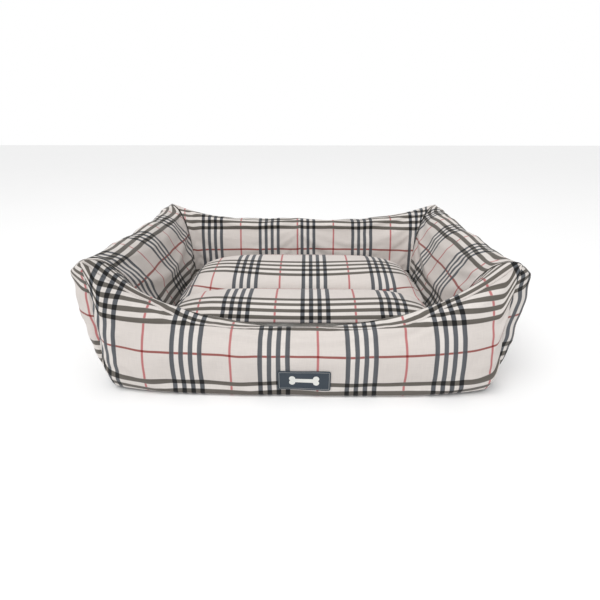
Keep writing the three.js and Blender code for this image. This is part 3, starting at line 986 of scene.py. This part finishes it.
OUTER_PANEL_ROUND, INNER_PANEL_ROUND = 0.165, 0.145  # about how far each cover runs from edge to
BACK_ROUND, SIDE_ROUND = 0.420, 0.440  # edge over the stuffing, which sets its rows
DRAWN_UP, DRAWN_UP_LOW = 0.011, 0.013  # how far the corners draw the front's level stripes up


def drawn_up(flat, stations):
    """The front panel's pattern, whose level stripes rise to the corners, most at low height."""
    low = np.exp(-(((flat[..., 1] - 0.070) / 0.035) ** 2))
    rise = np.abs(stations) ** 3 * (DRAWN_UP + DRAWN_UP_LOW * low)
    return np.stack([flat[..., 0], flat[..., 1] - rise], axis=2)


def seam_angle(u):
    """Where the front wall's ridge seam lies over its crest, from the outside."""
    return math.radians(69 + 19 * math.exp(-((u / 0.24) ** 2)) + 14 * smooth((abs(u) - 0.5) / 0.3))


class PETBED_OT_front_wall(bpy.types.Operator):
    """Cut the front wall's outer and inner panels, which meet in the ridge seam"""

    bl_idname = "pet_bed.front_wall"
    bl_label = "Front wall"

    def execute(self, context):
        step = context.scene.bed_covers.step
        stations = FRONT.stations(-1, 1, step)
        centre = (len(stations) - 1) / 2
        outer = FRONT.sheet(stations, round(OUTER_PANEL_ROUND / step), "outer", seam_angle)
        outer = shaped(outer, depth=0.003, size=0.07, seed=SEED)
        outer = pucker(outer, (0, -1), depth=0.0026, wave=0.040, reach=0.060, seed=SEED)
        cover(
            "front_outer_panel", outer, origin=(-0.0375, 0.0025), centre=centre,
            pinned=edge_rows(outer), slack=(0.014, 0.022), limit=limit_map(outer, 0.008),
            nodes=("front_wall_outer_panel",), stripes=lambda flat: drawn_up(flat, stations),
        )
        inner = FRONT.sheet(stations, round(INNER_PANEL_ROUND / step), "inner", seam_angle)
        inner = shaped(inner, depth=0.003, size=0.06, seed=SEED + 4)
        cover(
            "front_inner_panel", inner, origin=(-0.0375, 0.0315), centre=centre,
            pinned=edge_rows(inner), slack=(0.012, 0.02), limit=limit_map(inner, 0.005),
            nodes=("front_wall_inner_panel",), pressure=0.7,
        )
        return {"FINISHED"}


class PETBED_OT_back_wall(bpy.types.Operator):
    """Cut the back wall's two covers, which meet in an upright seam"""

    bl_idname = "pet_bed.back_wall"
    bl_label = "Back wall"

    def execute(self, context):
        step = context.scene.bed_covers.step
        rows = round(BACK_ROUND / step)
        sides = (
            ("left", BACK_SEAM_U, 1.0, 0, (0.068, 0.054)),
            ("right", -1.0, BACK_SEAM_U, -1, (-0.0144, 0.053)),
        )
        for side, first, last, seam, origin in sides:
            stations = BACK.stations(first, last, step)
            points = shaped(BACK.sheet(stations, rows, "whole"), depth=0.004, size=0.055, seed=SEED + 5)
            corner = -1 if seam == 0 else 0
            points = pucker(points, (corner,), depth=0.0022, wave=0.034, reach=0.05, seed=SEED + 1)
            points = pucker(points, (seam,), depth=0.0010, wave=0.026, reach=0.03, seed=SEED + 2)
            centre = 0 if seam == 0 else len(stations) - 1
            cover(
                f"back_cover_{side}", points, origin=origin, centre=centre,
                pinned=edge_rows(points), slack=(0.026, 0.020), limit=limit_map(points, 0.007),
                nodes=(f"back_wall_cover_{side}",), stripes=lambda flat: level_pattern(flat, centre),
            )
        return {"FINISHED"}


class PETBED_OT_side_walls(bpy.types.Operator):
    """Cut the left and right walls' covers, one sheet each"""

    bl_idname = "pet_bed.side_walls"
    bl_label = "Side walls"

    def execute(self, context):
        step = context.scene.bed_covers.step
        rows = round(SIDE_ROUND / step)
        for side, wall, origin in (("left", LEFT, (0.041, 0.064)), ("right", RIGHT, (0.0216, 0.067))):
            stations = wall.stations(-1, 1, step)
            points = shaped(wall.sheet(stations, rows, "whole"), depth=0.004, size=0.06, seed=SEED + 6)
            points = pucker(points, (0, -1), depth=0.0016, wave=0.052, reach=0.06, seed=SEED + 3)
            centre = (len(stations) - 1) / 2
            lean = LEAN if wall is RIGHT else -LEAN
            cover(
                f"{side}_cover", points, origin=origin, centre=centre,
                pinned=edge_rows(points), slack=(0.020, 0.022), limit=limit_map(points, 0.007),
                nodes=(f"{side}_wall_cover",),
                stripes=lambda flat: leaning(level_pattern(flat, centre, SIDE_TAKEN_UP), lean, stations),
            )
        return {"FINISHED"}


class PETBED_OT_cushion(bpy.types.Operator):
    """Cut the seat cushion's top and bottom panels, with the sewn channel across"""

    bl_idname = "pet_bed.cushion"
    bl_label = "Cushion panels"

    def execute(self, context):
        step = context.scene.bed_covers.step
        top, channel, centre = cushion_sheet(1, step)
        cover(
            "cushion_top", top, origin=(0.0246, 0.0), centre=centre,
            pinned=edge_rows(top, (0, channel, -1)), slack=(0.016, 0.012), limit=limit_map(top, 0.006),
            body="cushion", nodes=("cushion_top_panel",), pressure=0.8,
            stripes=lambda flat: lobe_pattern(flat, top, channel, round(centre)),
        )
        bottom, channel, centre = cushion_sheet(-1, step)
        bottom = bottom[:, ::-1]
        cover(
            "cushion_bottom", bottom, origin=(0.0246, 0.05), centre=centre,
            pinned=edge_rows(bottom, (0, channel, -1)), slack=(0.004, 0.004), limit=limit_map(bottom, 0.001),
            body="cushion", nodes=("cushion_bottom_panel",), pressure=0.2,
        )
        return {"FINISHED"}


class PETBED_OT_settle(bpy.types.Operator):
    """Let the stuffing push the covers out until the cloth settles, then finish each cover"""

    bl_idname = "pet_bed.settle"
    bl_label = "Settle the covers"

    def execute(self, context):
        settle_covers()
        for entry in COVERS:
            finish_cover(entry)
        return {"FINISHED"}


# ---- Fillings, base, label and zip ----------------------------------------------------


def closed_object(name, rings):
    """A closed solid through a row of closed rings, with both ends closed."""
    count, last = len(rings[0]), (len(rings) - 1) * len(rings[0])
    faces = []
    for row in range(0, last, count):
        for i in range(count):
            a, b = row + i, row + (i + 1) % count
            faces.append((a, b, b + count, a + count))
    faces.append(tuple(reversed(range(count))))
    faces.append(tuple(range(last, last + count)))
    return mesh_object(name, [tuple(point) for ring in rings for point in ring], faces, False)


def outward(piece):
    """Merges doubled points and turns every face of a closed piece outwards."""
    select_only(piece)
    bpy.ops.object.mode_set(mode="EDIT")
    bpy.ops.mesh.select_all(action="SELECT")
    bpy.ops.mesh.remove_doubles(threshold=MERGE)
    bpy.ops.mesh.normals_make_consistent(inside=False)
    bpy.ops.object.mode_set(mode="OBJECT")


def fluff(piece, voxel, depth, clump):
    """Turns a closed shape into loose batting: an even mesh with soft clumps and small tufts."""
    outward(piece)
    modifier = piece.modifiers.new("batting", "REMESH")
    modifier.mode, modifier.voxel_size = "VOXEL", voxel
    apply_modifiers(piece)
    for vertex in piece.data.vertices:
        lumps = noise.fractal(vertex.co / clump, 1.0, 2.0, 3) - 0.35
        tufts = noise.noise(vertex.co / (clump * 0.22)) * 0.25
        vertex.co += vertex.normal * depth * (min(0.0, lumps) + min(0.0, tufts))
    modifier = piece.modifiers.new("soften", "SMOOTH")
    modifier.iterations, modifier.factor = 2, 0.5
    apply_modifiers(piece)
    piece.data.polygons.foreach_set("use_smooth", [True] * len(piece.data.polygons))


def cover_trees(names):
    """The settled faces of these covers, to look up places on."""
    return [entry["tree"] for entry in COVERS if entry["piece"].name in names]


def tuck_in(piece, covers, gap):
    """Keeps a filling's surface a small gap inside the settled covers round it."""
    trees = cover_trees(covers)
    for vertex in piece.data.vertices:
        found = min((tree.find_nearest(vertex.co) for tree in trees), key=lambda near: near[3])
        place, normal = found[:2]
        depth = (place - vertex.co).dot(normal)
        if depth < gap:
            vertex.co += normal * (depth - gap)


def finish_filling(piece, body, node):
    piece.data.materials.append(material("fibre", fibre_material))
    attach(piece, body)
    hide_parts(node)


def vertex_places(mesh):
    points = np.zeros(len(mesh.vertices) * 3, np.float32)
    mesh.vertices.foreach_get("co", points)
    return points.reshape(-1, 3)


def scattered(name, seed, placements):
    """One object of many copies of a small one, each copy with its own faces."""
    settle_place(seed)
    points = vertex_places(seed.data)
    faces = [tuple(face.vertices) for face in seed.data.polygons]
    vertices, copied = [], []
    for i, matrix in enumerate(placements):
        vertices.append(points @ np.array(matrix.to_3x3()).T + np.array(matrix.translation))
        copied += [tuple(v + i * len(points) for v in face) for face in faces]
    bpy.data.objects.remove(seed)
    return mesh_object(name, np.concatenate(vertices), copied)


def settle_place(piece):
    """Puts a piece's place, turn and scale into its mesh."""
    select_only(piece)
    bpy.ops.object.transform_apply(location=True, rotation=True, scale=True)


FILLING_INSET = 0.006  # from a cover's starting shape to the batting behind it
FILLING_ENDS, CUSHION_FILLING_ENDS = 0.975, 0.97  # how far along a wall or the cushion batting reaches
BATTING_VOXEL, PAD_VOXEL = 0.006, 0.005
WALL_GAP, CUSHION_GAP = 0.0035, 0.003  # from a settled cover to the batting

WALL_COVERS = {
    "front": ("front_outer_panel", "front_inner_panel"),
    "back": ("back_cover_left", "back_cover_right"),
    "left": ("left_cover",),
    "right": ("right_cover",),
}


class PETBED_OT_wall_fillings(bpy.types.Operator):
    """Stuff the four walls with bolsters of loose fibre"""

    bl_idname = "pet_bed.wall_fillings"
    bl_label = "Wall fillings"

    def execute(self, context):
        for name, wall in WALLS.items():
            rings = []
            for u in np.linspace(-FILLING_ENDS, FILLING_ENDS, 61):
                ring = respaced(wall.place(u, wall.section(u, math.pi / 2)[0]), 48)
                middle = ring.mean(axis=0)
                away = ring - middle
                far = np.linalg.norm(away, axis=1, keepdims=True)
                inset = np.minimum(FILLING_INSET, far * 0.3)
                rings.append(middle + away * (1 - inset / far))
            piece = closed_object(f"{name}_bolster", rings)
            fluff(piece, BATTING_VOXEL, depth=0.006, clump=0.05)
            tuck_in(piece, WALL_COVERS[name], WALL_GAP)
            finish_filling(piece, "bed", f"{name}_wall_fill")
        return {"FINISHED"}


class PETBED_OT_cushion_filling(bpy.types.Operator):
    """Stuff the cushion's front and back lobes, parted by the sewn channel"""

    bl_idname = "pet_bed.cushion_filling"
    bl_label = "Cushion filling"

    def execute(self, context):
        margin, thinnest = 0.007, 0.0015
        lobes = (
            ("front", CUSHION_FRONT + margin, CHANNEL_Y - margin),
            ("back", CHANNEL_Y + margin, CUSHION_BACK - margin),
        )
        for name, first, last in lobes:
            places = np.linspace(first, last, 34)
            rings = []
            for p in np.linspace(-CUSHION_FILLING_ENDS, CUSHION_FILLING_ENDS, 61):
                faces = [
                    [np.array(cushion_point(p, y, side)) - (0, 0, side * FILLING_INSET) for y in places]
                    for side in (1, -1)
                ]
                top, bottom = (np.array(face) for face in faces)
                gap = np.maximum(thinnest - (top[:, 2] - bottom[:, 2]), 0) / 2
                top[:, 2] += gap
                bottom[:, 2] -= gap
                rings.append(np.concatenate([top, bottom[::-1]]))
            piece = closed_object(f"cushion_batting_{name}", rings)
            fluff(piece, BATTING_VOXEL, depth=0.005, clump=0.045)
            tuck_in(piece, ("cushion_top", "cushion_bottom"), CUSHION_GAP)
            finish_filling(piece, "cushion", f"cushion_fill_{name}")
        return {"FINISHED"}


def box_piece(name, low, high):
    """A box between two corners, in edit mode with all of it selected."""
    size = Vector(high) - Vector(low)
    bpy.ops.object.select_all(action="DESELECT")
    bpy.ops.mesh.primitive_cube_add(size=1, location=(Vector(low) + Vector(high)) / 2, scale=size)
    piece = bpy.context.object
    piece.name = name
    settle_place(piece)
    bpy.ops.object.mode_set(mode="EDIT")
    return piece


def select_edges(piece, wanted):
    """Selects the edges whose two ends pass the test, in edit mode."""
    bpy.ops.mesh.select_mode(type="EDGE")
    bpy.ops.mesh.select_all(action="DESELECT")
    bpy.ops.object.mode_set(mode="OBJECT")
    for edge in piece.data.edges:
        ends = [piece.data.vertices[i].co for i in edge.vertices]
        edge.select = wanted(*ends)
    bpy.ops.object.mode_set(mode="EDIT")


def laid_sheet(name, place, columns, rows):
    """A flat sheet of woven cloth whose points are given by their shares across and along it."""
    shares_p, shares_q = np.linspace(-1, 1, columns), np.linspace(-1, 1, rows)
    points = np.array([[place(p, q) for p in shares_p] for q in shares_q])
    flat = flat_pattern(points, columns // 2)
    piece = grid_object(name, points, flat)
    thicken(piece, WOVEN)
    return piece, flat


class PETBED_OT_base(bpy.types.Operator):
    """Lay the underside with its grip dots, the wadding pad and the liner"""

    bl_idname = "pet_bed.base"
    bl_label = "Base"

    def execute(self, context):
        self.underside(context.scene.bed_base)
        self.pad()
        self.liner(context.scene.bed_base)
        return {"FINISHED"}

    def underside(self, base):
        margin = 0.0035  # in from the covers' feet

        def place(p, q):
            x = p * (CORNER_X + LEFT.foot_out * (1 - abs(q) ** FOOT_CURVE) - margin)
            y = q * (CORNER_Y + (FRONT if q < 0 else BACK).foot_out * (1 - abs(p) ** FOOT_CURVE) - margin)
            lift_from = ((abs(p), FRONT.lift_from), (abs(q), LEFT.lift_from))
            corner = [smooth((t - first) / (1 - first)) for t, first in lift_from]
            return x, y, 0.0013 + (FOOT_LIFT - 0.0005) * corner[0] * corner[1]

        piece, flat = laid_sheet("underside", place, 105, 75)
        cloth = material("underside", plain_cloth_material, "underside_fabric", base.underside, 0.0012)
        piece.data.materials.append(cloth)
        bpy.ops.object.select_all(action="DESELECT")
        bpy.ops.mesh.primitive_uv_sphere_add(segments=10, ring_count=4, radius=base.dot)
        seed = bpy.context.object
        seed.scale.z = base.dot_height / base.dot
        rows, columns = round(0.40 / base.pitch), round(0.58 / base.pitch)
        places = [
            Matrix.Translation((
                (i - columns / 2 + (j % 2) / 2) * base.pitch, (j - rows / 2) * base.pitch, base.dot_height
            ))
            for j in range(rows + 1) for i in range(columns + j % 2)
        ]
        dots = scattered("grip_dots", seed, places)
        dots.data.materials.append(material("rubber", rubber_material))
        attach(piece, "bed")
        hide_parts("base_underside")
        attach(dots, "bed")
        cut_size(flat)

    def pad(self):
        low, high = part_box("base_pad")
        inset = Vector((0.004, 0.008, 0.0006))
        piece = box_piece("wadding_pad", low + inset, high - inset)
        select_edges(piece, lambda a, b: abs(a.z - b.z) > 0.01)
        bpy.ops.mesh.bevel(offset=0.03, segments=6)
        top, bottom = high.z - inset.z - MERGE, low.z + inset.z + MERGE
        select_edges(piece, lambda a, b: min(a.z, b.z) > top or max(a.z, b.z) < bottom)
        bpy.ops.mesh.bevel(offset=0.008, segments=4)
        bpy.ops.object.mode_set(mode="OBJECT")
        fluff(piece, PAD_VOXEL, depth=0.004, clump=0.06)
        finish_filling(piece, "bed", "base_pad")

    def liner(self, base):
        low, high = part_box("base_liner")
        margin = 0.001

        def place(p, q):
            x = p * (high.x - margin)
            reach = (abs(low.y) if q < 0 else high.y) - margin
            corner = CORNER_Y - VALLEY - margin
            y = q * (corner + (reach - corner) * closing(p, PINCH_POWER, PINCH_ROUND))
            ripple = 0.0009 * noise.noise(Vector((x, y, 0)) / 0.045) * (1 - abs(p) ** 6) * (1 - abs(q) ** 6)
            return x, y, high.z + 0.0004 + ripple

        piece, flat = laid_sheet("liner", place, 97, 65)
        cloth = material("liner", plain_cloth_material, "liner_fabric", base.liner, 0.0008)
        piece.data.materials.append(cloth)
        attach(piece, "bed")
        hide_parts("base_liner")
        cut_size(flat)


def front_face(tree, x, z):
    """Distance out of the front panel at a place on its face."""
    hit, _, _, _ = tree.ray_cast(Vector((x, -0.5, z)), Vector((0, 1, 0)))
    if hit is None:
        raise RuntimeError("the label isn't over the front panel")
    return hit.y


def rounded(x, z, half_x, half_z, radius):
    """Draws a point of a rectangle in, so that the corners are round."""
    from_x, from_z = abs(x) - (half_x - radius), abs(z) - (half_z - radius)
    if from_x <= 0 or from_z <= 0:
        return x, z
    draw = max(from_x, from_z) / math.hypot(from_x, from_z)
    return (
        math.copysign(half_x - radius + from_x * draw, x), math.copysign(half_z - radius + from_z * draw, z)
    )


LABEL_DROP = 0.0055  # how far the curve of the panel carries the label down
LABEL_STAND = 0.0016  # from the panel to the label's face
SEAM_INSET, STITCH_PITCH, STITCH_CORNER = 0.0013, 0.0030, 0.0015  # the line of stitches round the label


class PETBED_OT_label(bpy.types.Operator):
    """Sew the woven label onto the front wall"""

    bl_idname = "pet_bed.label"
    bl_label = "Label"

    def execute(self, context):
        low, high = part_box("label_patch")
        width, height = high.x - low.x, high.z - low.z
        middle_x, middle_z = (low.x + high.x) / 2, (low.z + high.z) / 2 - LABEL_DROP
        (tree,) = cover_trees(("front_outer_panel",))
        columns, rows = 48, 22
        radius = context.scene.bed_trim.label_corner
        across = [width * (i / columns - 0.5) for i in range(columns + 1)]
        up = [height * (j / rows - 0.5) for j in range(rows + 1)]
        uv = np.array([[rounded(x, z, width / 2, height / 2, radius) for x in across] for z in up])
        face = np.array([[front_face(tree, middle_x + x, middle_z + z) for x, z in row] for row in uv])
        for _ in range(30):  # the label is stiffer than the cloth, so it spans small hollows
            face[1:-1, 1:-1] = (face[:-2, 1:-1] + face[2:, 1:-1] + face[1:-1, :-2] + face[1:-1, 2:]) / 4
        face -= LABEL_STAND
        points = np.stack([middle_x + uv[..., 0], face, middle_z + uv[..., 1]], axis=2)
        piece = grid_object("woven_label", points, uv)
        divide(piece)
        thicken(piece, WOVEN)
        piece.data.materials.append(material("label", label_material, width, height))
        stitches = self.stitches(points, width, height)
        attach(piece, "bed")
        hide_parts("label_patch")
        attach(stitches, "bed")
        return {"FINISHED"}

    def stitches(self, points, width, height):
        """A line of lockstitch just inside the label's edge."""
        tree = BVHTree.FromPolygons(points.reshape(-1, 3).tolist(), grid_faces(points))
        bpy.ops.object.select_all(action="DESELECT")
        bpy.ops.mesh.primitive_uv_sphere_add(segments=8, ring_count=6, radius=0.00022)
        seed = bpy.context.object
        seed.scale.x = 5.2
        middle = points[points.shape[0] // 2, points.shape[1] // 2]
        half_x, half_z = width / 2 - SEAM_INSET, height / 2 - SEAM_INSET
        corners = [(-half_x, -half_z), (half_x, -half_z), (half_x, half_z), (-half_x, half_z)]
        places = []
        for (x0, z0), (x1, z1) in zip(corners, corners[1:] + corners[:1]):
            span = math.hypot(x1 - x0, z1 - z0)
            sewn = span - 2 * STITCH_CORNER
            count = round(sewn / STITCH_PITCH)
            for i in range(count):
                part = (STITCH_CORNER + (i + 0.5) * sewn / count) / span
                at = Vector((middle[0] + x0 + (x1 - x0) * part, -0.5, middle[2] + z0 + (z1 - z0) * part))
                hit, normal, _, _ = tree.ray_cast(at, Vector((0, 1, 0)))
                out = normal if normal.y < 0 else -normal
                along = Vector((x1 - x0, 0, z1 - z0)).normalized()
                along = (along - out * along.dot(out)).normalized()
                turn = Matrix((along, out, along.cross(out))).transposed().to_4x4()
                places.append(Matrix.Translation(hit + out * 0.00005) @ turn)
        stitches = scattered("label_stitches", seed, places)
        stitches.data.materials.append(material("thread", thread_material))
        return stitches


COIL_DEPTH, COIL_HEIGHT = 0.0016, 0.00165  # room for the zip's coils
COIL_PITCH, COIL_LEAN = 0.00125, math.radians(14)  # from turn to turn, and their slant
SOFT_EDGE = 0.00018  # rounding of the zip's edges


class PETBED_OT_zip(bpy.types.Operator):
    """Make the zip in the cushion's rear edge: tapes with their coils, slider, pull and stops"""

    bl_idname = "pet_bed.zip"
    bl_label = "Zip"

    def execute(self, context):
        for side, up in (("upper", 1), ("lower", -1)):
            node = f"zip_tape_{side}"
            low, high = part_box(node)
            inner, outer = (low.z, high.z) if up > 0 else (high.z, low.z)
            bottom, top = sorted((inner + up * 0.0001, outer))
            tape = box_piece(f"tape_{side}", (low.x, low.y, bottom), (high.x, high.y - COIL_DEPTH, top))
            bpy.ops.mesh.select_all(action="SELECT")
            bpy.ops.mesh.bevel(offset=SOFT_EDGE, segments=2)
            bpy.ops.object.mode_set(mode="OBJECT")
            tape.data.materials.append(material("tape", tape_material))
            bpy.ops.object.select_all(action="DESELECT")
            bpy.ops.mesh.primitive_torus_add(
                major_radius=0.00062, minor_radius=0.0002, major_segments=10, minor_segments=4,
                rotation=(0, math.pi / 2, 0),
            )
            seed = bpy.context.object
            count = int((high.x - low.x) / COIL_PITCH)
            middle = Vector((0, high.y - COIL_DEPTH / 2, inner + up * COIL_HEIGHT / 2))
            lean = Matrix.Rotation(COIL_LEAN * up, 4, "Z")
            places = [
                Matrix.Translation(middle + Vector((low.x + (i + 0.5) * COIL_PITCH, 0, 0))) @ lean
                for i in range(count)
            ]
            coil = scattered(f"coil_{side}", seed, places)
            coil.data.materials.append(material("coil", coil_material))
            for piece in (tape, coil):
                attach(piece, "cushion")
            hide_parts(node)
        for node in ("zip_slider", "zip_pull", "zip_stop_left", "zip_stop_right"):
            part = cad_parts[node]
            part.data.materials.clear()
            part.data.materials.append(material("metal", metal_material))
            weld = part.modifiers.new("join", "WELD")
            weld.merge_threshold = MERGE
            bevel = part.modifiers.new("soft_edges", "BEVEL")
            bevel.width, bevel.segments, bevel.limit_method = SOFT_EDGE, 2, "ANGLE"
            bevel.angle_limit = math.radians(35)
        return {"FINISHED"}


class PETBED_OT_stage(bpy.types.Operator):
    """Set the floor, the soft lights and the camera"""

    bl_idname = "pet_bed.stage"
    bl_label = "Stage"

    def execute(self, context):
        scene, stage = context.scene, context.scene.bed_stage
        bpy.ops.object.select_all(action="DESELECT")
        bpy.ops.mesh.primitive_plane_add(size=12, location=(0, 0, 0))
        floor = context.object
        floor.name = "stage_floor"
        graph = Graph("floor")
        grain = graph.noise(graph.object_place(), 3.0)
        tint = graph.mix(grain, tuple(c * 0.99 for c in stage.floor), tuple(stage.floor))
        floor.data.materials.append(graph.finish(Base_Color=tint, Roughness=0.9, Specular_IOR_Level=0.1))

        world = bpy.data.worlds.new("studio")
        scene.world = world
        world.use_nodes = True
        nodes, links = world.node_tree.nodes, world.node_tree.links
        nodes["Background"].inputs["Color"].default_value = (1, 1, 1, 1)
        nodes["Background"].inputs["Strength"].default_value = stage.sky
        seen = nodes.new("ShaderNodeBackground")
        seen.inputs["Color"].default_value = (1, 1, 1, 1)
        rays, mixed = nodes.new("ShaderNodeLightPath"), nodes.new("ShaderNodeMixShader")
        links.new(rays.outputs["Is Camera Ray"], mixed.inputs["Fac"])
        links.new(nodes["Background"].outputs[0], mixed.inputs[1])
        links.new(seen.outputs[0], mixed.inputs[2])
        links.new(mixed.outputs[0], nodes["World Output"].inputs["Surface"])
        sun = bpy.data.lights.new("sky_light", "SUN")
        sun.energy, sun.angle = stage.sun, math.radians(50)
        lamp = bpy.data.objects.new("sky_light", sun)
        lamp.rotation_euler = (math.radians(28), math.radians(-18), 0)
        scene.collection.objects.link(lamp)
        lamps = (
            ("key", (-0.9, -0.8, 1.9), 1.4, 6.5),
            ("fill", (0.9, -1.3, 1.4), 1.6, 3),
            ("top", (0.1, 0.3, 2.2), 2.0, 5),
        )
        for name, place, size, power in lamps:
            lamp = bpy.data.lights.new(name, "AREA")
            lamp.size, lamp.energy = size, power
            light = bpy.data.objects.new(name, lamp)
            light.location = place
            light.rotation_euler = (Vector((0, 0, 0.1)) - light.location).to_track_quat("-Z", "Y").to_euler()
            scene.collection.objects.link(light)

        camera = bpy.data.objects.new("camera", bpy.data.cameras.new("camera"))
        camera.data.lens, camera.data.sensor_width = stage.lens, 36
        camera.location = stage.place
        camera.rotation_euler = (math.pi / 2 - stage.pitch, 0, stage.yaw)
        scene.collection.objects.link(camera)
        scene.camera = camera
        scene.view_settings.view_transform = "Standard"
        return {"FINISHED"}


class PETBED_PT_panel(bpy.types.Panel):
    """Sizes, colours and the steps that build the bed"""

    bl_idname = "PETBED_PT_panel"
    bl_label = "Pet cushion bed"
    bl_space_type = "VIEW_3D"
    bl_region_type = "UI"
    bl_category = "Pet Bed"

    def draw(self, context):
        layout, scene = self.layout, context.scene
        for group in (scene.bed_plaid, scene.bed_covers, scene.bed_base, scene.bed_trim, scene.bed_stage):
            box = layout.box()
            for name in group.__annotations__:
                box.prop(group, name)
        for operator in OPERATORS:
            layout.operator(operator.bl_idname)


GROUPS = {
    "bed_plaid": PlaidSettings, "bed_covers": CoverSettings, "bed_base": BaseSettings,
    "bed_trim": TrimSettings, "bed_stage": StageSettings,
}
OPERATORS = (
    PETBED_OT_stage, PETBED_OT_front_wall, PETBED_OT_back_wall, PETBED_OT_side_walls, PETBED_OT_cushion,
    PETBED_OT_settle, PETBED_OT_wall_fillings, PETBED_OT_cushion_filling, PETBED_OT_base, PETBED_OT_label,
    PETBED_OT_zip,
)


def register():
    for kind in (*GROUPS.values(), *OPERATORS, PETBED_PT_panel):
        bpy.utils.register_class(kind)
    for name, kind in GROUPS.items():
        setattr(bpy.types.Scene, name, PointerProperty(type=kind))


def unregister():
    for name in GROUPS:
        delattr(bpy.types.Scene, name)
    for kind in (PETBED_PT_panel, *reversed(OPERATORS), *reversed(GROUPS.values())):
        bpy.utils.unregister_class(kind)


def main():
    register()
    for operator in OPERATORS:
        group, name = operator.bl_idname.split(".")
        getattr(getattr(bpy.ops, group), name)()


if __name__ == "__main__":
    main()
